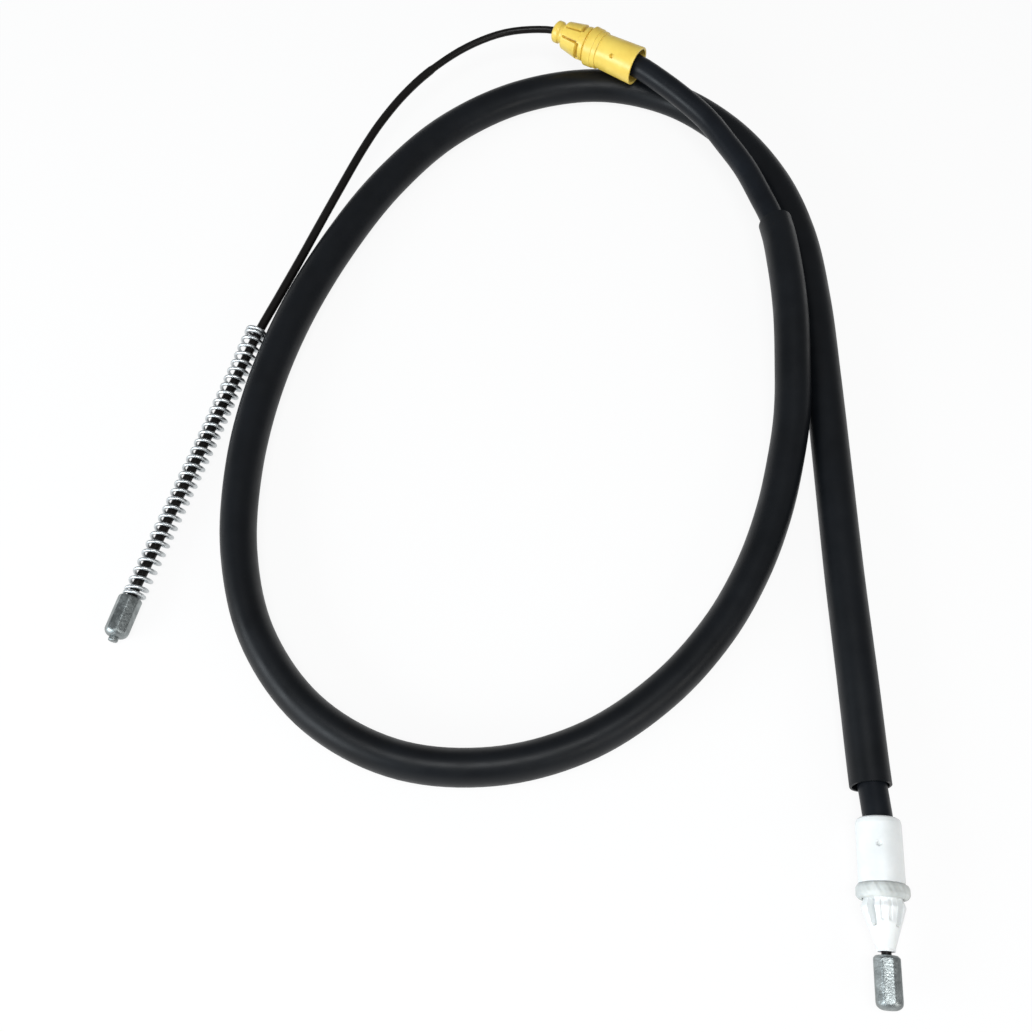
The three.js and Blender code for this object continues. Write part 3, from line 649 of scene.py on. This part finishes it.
# White clip, from its nose
WHITE_ROLL = -7.6
WHITE_SIDES = 240
WHITE_CORE = 3.2
WHITE_FINGERS_END = 18
WHITE_FINGER_ANGLE = 90
WHITE_SLOT_WALL = (7, 10)
WHITE_SLOT_REACH = (8.0, 16.3, 1.2)
WHITE_SLOT_FLOOR = 3.7
WHITE_FLAT_WALL = (33, 38)
WHITE_FLAT_REACH = (9.0, 16.3, 2.5)
WHITE_FLAT_RADII = (5.0, 7.0)
WHITE_FLAT_DEPTH = 0.7
WHITE_GROOVE_ANGLE = 13
WHITE_GROOVE_WALL = (3, 6)
WHITE_GROOVE_REACH = (9.5, 16.2, 1.0)
WHITE_GROOVE_DEPTH = 0.45
WHITE_PIN_HOLE = (WHITE_LENGTH - 9.6, 80)
WHITE_PIN_WALL = (0.55, 1.0)
WHITE_PIN_FLOOR = 6.8
WHITE_SLEEVE_INSIDE = 7
WHITE_RING_STEP = 0.3
WHITE_OUTLINE = [
    (2.3, 0), (3.05, 0), (3.05, 0.8), (7.35, 13.8), (6.4, 16.4), (6.4, 21.4), (7.7, 21.4), (7.7, 41.2),
    (7.35, 42.7), (6.5, 43.2), (6.3, 43.2), (6.3, 23.0), (2.3, 23.0),
]


def white_shape(radius, height, degrees):
    fingers = (radius > WHITE_CORE) & (height < WHITE_FINGERS_END)
    from_slot = np.abs(degrees % WHITE_FINGER_ANGLE - WHITE_FINGER_ANGLE / 2)
    slot = (1 - smooth_step(from_slot, *WHITE_SLOT_WALL)) * window(height, *WHITE_SLOT_REACH)
    from_middle = np.minimum(np.abs(angle_from(degrees, 90)), np.abs(angle_from(degrees, 270)))
    flat = (1 - smooth_step(from_middle, *WHITE_FLAT_WALL)) * window(height, *WHITE_FLAT_REACH)
    from_groove = np.abs(from_middle - WHITE_GROOVE_ANGLE)
    groove = (1 - smooth_step(from_groove, *WHITE_GROOVE_WALL)) * window(height, *WHITE_GROOVE_REACH)
    shaped = carve(radius, WHITE_SLOT_FLOOR, slot)
    shaped = shaped - WHITE_FLAT_DEPTH * flat * smooth_step(shaped, *WHITE_FLAT_RADII)
    radius = np.where(fingers, shaped - WHITE_GROOVE_DEPTH * groove, radius)
    pin = pin_mask(radius, height, degrees, WHITE_PIN_HOLE, WHITE_PIN_WALL)
    return np.where(radius > WHITE_SLEEVE_INSIDE, carve(radius, WHITE_PIN_FLOOR, pin), radius)


white_clip = make_turned(
    "white_clip", fine_outline(rounded_outline(WHITE_OUTLINE, CLIP_ROUNDING), WHITE_RING_STEP), WHITE_SIDES,
    WHITE_NOSE, -WHITE_OUT, WHITE_ROLL, white_material, white_shape,
)
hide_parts("white_end_clip")

# Rubber collar, with lumps given as height, count around, phase and slant
COLLAR_SIDES = 160
COLLAR_ROUNDING = 0.4
COLLAR_RING_STEP = 0.3
COLLAR_LUMPS_START = 7.4
COLLAR_LUMPS_DROP = 0.1
COLLAR_LUMPS = [(0.1, 9, 0.6, 0), (0.07, 17, 0, 1), (0.05, 31, 0, 2)]
COLLAR_OUTLINE = [
    (6.7, 0), (7.6, 0), (8.3, 0.4), (8.95, 1.5), (8.85, 3.6), (8.4, 4.6), (7.8, 4.95), (6.7, 4.95),
]


def collar_shape(radius, height, degrees):
    turn = np.radians(degrees)
    lumps = sum(
        size * np.sin(count * turn + phase + slant * height) for size, count, phase, slant in COLLAR_LUMPS
    )
    return radius + np.where(radius > COLLAR_LUMPS_START, lumps - COLLAR_LUMPS_DROP, 0)


collar = make_turned(
    "collar", fine_outline(rounded_outline(COLLAR_OUTLINE, COLLAR_ROUNDING), COLLAR_RING_STEP), COLLAR_SIDES,
    on_axis(WHITE_NOSE, -WHITE_OUT, WHITE_CONE_LENGTH), -WHITE_OUT, 0, collar_material, collar_shape,
)
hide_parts("sealing_collar")


# Nipples: a round body with eight pressed flats, a rounded nose and a widened mouth
NIPPLE_RADIUS = 4.65
NIPPLE_FLATS = 8
NIPPLE_FLAT_DISTANCE = 4.35
NIPPLE_FLATS_START = 3.9
NIPPLE_EDGE_SOFTNESS = 0.3
NIPPLE_NOSE_ROUNDING = 3.0
NIPPLE_NOSE_STEPS = 10
NIPPLE_MOUTH_RADIUS = 3.2
NIPPLE_MOUTH_DEPTH = 0.9
NIPPLE_BORE_RADIUS = 1.5
NIPPLE_SIDES = 160
NIPPLE_ROUNDING = 0.3
NIPPLE_RING_STEP = 0.4
NUB_SIDE_EDGE = 0.25
NUB_END_EDGE = 0.3
SPRING_NIPPLE_ROLL = 18
LEVER_NIPPLE_ROLL = 9.5


def nipple_shape(radius, height, degrees):
    flat_angle = 360 / NIPPLE_FLATS
    from_flat = np.radians(degrees % flat_angle - flat_angle / 2)
    flat = NIPPLE_FLAT_DISTANCE / np.cos(from_flat)
    blend = np.clip((flat - radius) / NIPPLE_EDGE_SOFTNESS, -1, 1)
    softened = (radius + flat) / 2 - NIPPLE_EDGE_SOFTNESS * (1 + blend**2) / 4
    pressed = np.where(blend >= 1, radius, np.where(blend <= -1, flat, softened))
    return np.where(radius > NIPPLE_FLATS_START, pressed, radius)


def nipple_outline(length, edge, nub_radius=0, nub_length=0):
    nose = [
        (NIPPLE_RADIUS - NIPPLE_NOSE_ROUNDING * (1 - math.sin(turn)), NIPPLE_NOSE_ROUNDING * (1 - math.cos(turn)))
        for turn in np.linspace(0, math.pi / 2, NIPPLE_NOSE_STEPS)
    ]
    nub = [
        (0, -nub_length), (nub_radius - NUB_SIDE_EDGE, -nub_length), (nub_radius, NUB_END_EDGE - nub_length),
        (nub_radius, 0),
    ]
    return [
        *(nub if nub_length > 0 else [(0, 0)]),
        *nose,
        (NIPPLE_RADIUS, length - edge), (NIPPLE_RADIUS - edge, length), (NIPPLE_MOUTH_RADIUS, length),
        (NIPPLE_BORE_RADIUS, length - NIPPLE_MOUTH_DEPTH), (NIPPLE_BORE_RADIUS, length - NIPPLE_BORE_DEPTH),
        (0, length - NIPPLE_BORE_DEPTH),
    ]


def make_nipple(name, node, outline, place, direction, roll):
    rounded = rounded_outline(outline, NIPPLE_ROUNDING, closed_loop=False)
    fine = fine_outline(rounded, NIPPLE_RING_STEP, closed_loop=False)
    piece = make_turned(name, fine, NIPPLE_SIDES, place, direction, roll, nipple_material, nipple_shape)
    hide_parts(node)
    return piece


spring_mouth = np.array(LEAD_POINTS[1], float)
spring_axis = spring_mouth - np.array(LEAD_POINTS[0], float)
spring_axis /= np.linalg.norm(spring_axis)
spring_nipple = make_nipple(
    "spring_nipple", "spring_end_nipple",
    nipple_outline(SPRING_NIPPLE_LENGTH, edge=0.5, nub_radius=1.8, nub_length=1.7),
    on_axis(spring_mouth, spring_axis, -SPRING_NIPPLE_LENGTH), spring_axis, SPRING_NIPPLE_ROLL,
)
lever_nipple = make_nipple(
    "lever_nipple", "lever_end_nipple", nipple_outline(LEVER_NIPPLE_LENGTH, edge=1.0),
    on_axis(LEVER_MOUTH, WHITE_OUT, LEVER_NIPPLE_LENGTH), -WHITE_OUT, LEVER_NIPPLE_ROLL,
)

# Return spring
SPRING_DIAMETER = 9.0
SPRING_WIRE = 1.4
SPRING_LENGTH = 128.0
SPRING_WORKING_TURNS = 31
SPRING_CLOSED_START = 1
SPRING_CLOSED_END = 2
SPRING_CLOSED_GAP = 0.2
SPRING_OFFSETS = [(0, -0.75, 0), (0.12, -0.75, 0.4), (0.6, -0.75, 0.4), (1, 0.9, 0.4)]
SPRING_STEPS = 28
SPRING_SIDES = 14


def make_spring():
    closed_turns = SPRING_CLOSED_START + SPRING_CLOSED_END
    turns = np.arange((SPRING_WORKING_TURNS + closed_turns) * SPRING_STEPS + 1) / SPRING_STEPS
    closed_pitch = SPRING_WIRE + SPRING_CLOSED_GAP
    climb = SPRING_LENGTH - SPRING_WIRE
    pitch = (climb - closed_turns * closed_pitch) / SPRING_WORKING_TURNS
    first = np.minimum(turns, SPRING_CLOSED_START)
    working = np.clip(turns - SPRING_CLOSED_START, 0, SPRING_WORKING_TURNS)
    last = np.maximum(0, turns - SPRING_CLOSED_START - SPRING_WORKING_TURNS)
    height = (first + last) * closed_pitch + working * pitch
    place, tangent, side, rise = route.frames(nipple_mouth_arc + FIT_GAP + SPRING_WIRE / 2 + height)
    angle = (2 * math.pi * turns)[:, None]
    radius = (SPRING_DIAMETER - SPRING_WIRE) / 2
    radial = side * np.cos(angle) + rise * np.sin(angle)
    around = rise * np.cos(angle) - side * np.sin(angle)
    shares, sideways, lifts = zip(*SPRING_OFFSETS)
    centre = place + radial * radius
    centre = centre + side * np.interp(height / climb, shares, sideways)[:, None]
    centre = centre + rise * np.interp(height / climb, shares, lifts)[:, None]
    forward = around + tangent * (pitch / (2 * math.pi * radius))
    forward /= np.linalg.norm(forward, axis=1)[:, None]
    frames = (centre, forward, radial, np.cross(forward, radial))
    return make_tube("spring", frames, SPRING_WIRE / 2, 0, SPRING_SIDES, spring_material)


spring = make_spring()
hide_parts("return_spring")

# Hidden cups keep their solids
for cup in ("yellow_end_cup", "white_end_cup"):
    cup_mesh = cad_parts[cup].data
    cup_mesh.materials.clear()
    cup_mesh.materials.append(cup_material)

hose_frames(hose_arcs)
route.frames(jacket_arcs)
route.frames(coat_stations)


# Floor, world and lamps
FLOOR_HALF = 30.0
FLOOR_SHADE = 0.82
FLOOR_ROUGHNESS = 0.9
FLOOR_WHITE_SHARE = 0.9
WORLD_COLOR = (0.95, 0.97, 1.0)
WORLD_STRENGTH = 0.26


def make_floor():
    """A pale floor that shows white to the camera and in reflections, and keeps the shadow."""
    mesh = bpy.data.meshes.new("floor")
    corners = [
        (-FLOOR_HALF, -FLOOR_HALF, 0), (FLOOR_HALF, -FLOOR_HALF, 0), (FLOOR_HALF, FLOOR_HALF, 0),
        (-FLOOR_HALF, FLOOR_HALF, 0),
    ]
    mesh.from_pydata(corners, [], [(0, 1, 2, 3)])
    material, nodes, links, shader = new_material("floor_white")
    shader.inputs["Base Color"].default_value = (*grey(FLOOR_SHADE), 1)
    shader.inputs["Roughness"].default_value = FLOOR_ROUGHNESS
    shader.inputs["Specular IOR Level"].default_value = 0.0
    path = nodes.new("ShaderNodeLightPath")
    glow = nodes.new("ShaderNodeEmission")
    glow.inputs["Strength"].default_value = 1.0
    first = nodes.new("ShaderNodeMath")
    first.operation = "MAXIMUM"
    links.new(path.outputs["Is Camera Ray"], first.inputs[0])
    links.new(path.outputs["Is Glossy Ray"], first.inputs[1])
    second = nodes.new("ShaderNodeMath")
    second.operation = "MAXIMUM"
    links.new(first.outputs[0], second.inputs[0])
    links.new(path.outputs["Is Transmission Ray"], second.inputs[1])
    share = nodes.new("ShaderNodeMath")
    share.operation = "MULTIPLY"
    share.inputs[1].default_value = FLOOR_WHITE_SHARE
    links.new(second.outputs[0], share.inputs[0])
    mix = nodes.new("ShaderNodeMixShader")
    links.new(share.outputs[0], mix.inputs[0])
    links.new(shader.outputs[0], mix.inputs[1])
    links.new(glow.outputs[0], mix.inputs[2])
    links.new(mix.outputs[0], nodes["Material Output"].inputs["Surface"])
    mesh.materials.append(material)
    floor = bpy.data.objects.new("floor", mesh)
    bpy.context.collection.objects.link(floor)


def make_world():
    world = bpy.data.worlds.new("studio")
    world.use_nodes = True
    background = world.node_tree.nodes["Background"]
    background.inputs["Color"].default_value = (*WORLD_COLOR, 1)
    background.inputs["Strength"].default_value = WORLD_STRENGTH
    bpy.context.scene.world = world


def make_lamp(name, place, target, size, power, color):
    data = bpy.data.lights.new(name, "AREA")
    data.shape = "RECTANGLE"
    data.size, data.size_y = size
    data.energy = power
    data.color = color
    lamp = bpy.data.objects.new(name, data)
    direction = np.array(target, float) - np.array(place, float)
    lamp.rotation_euler = Vector(direction).to_track_quat("-Z", "Y").to_euler()
    lamp.location = place
    bpy.context.collection.objects.link(lamp)


make_floor()
make_world()
make_lamp("overhead", (0.0, -0.32, 1.0), (0, 0.02, 0), (0.6, 0.36), 6.5, (0.97, 0.99, 1.0))
make_lamp("window", (-1.0, -0.55, 0.42), (-0.02, 0, 0), (1.0, 0.5), 14.0, (0.88, 0.95, 1.0))
make_lamp("fill", (0.75, -0.7, 0.45), (0.03, 0, 0), (0.7, 0.4), 3.0, (1.0, 0.98, 0.95))

scene = bpy.context.scene
scene.view_settings.view_transform = "Standard"
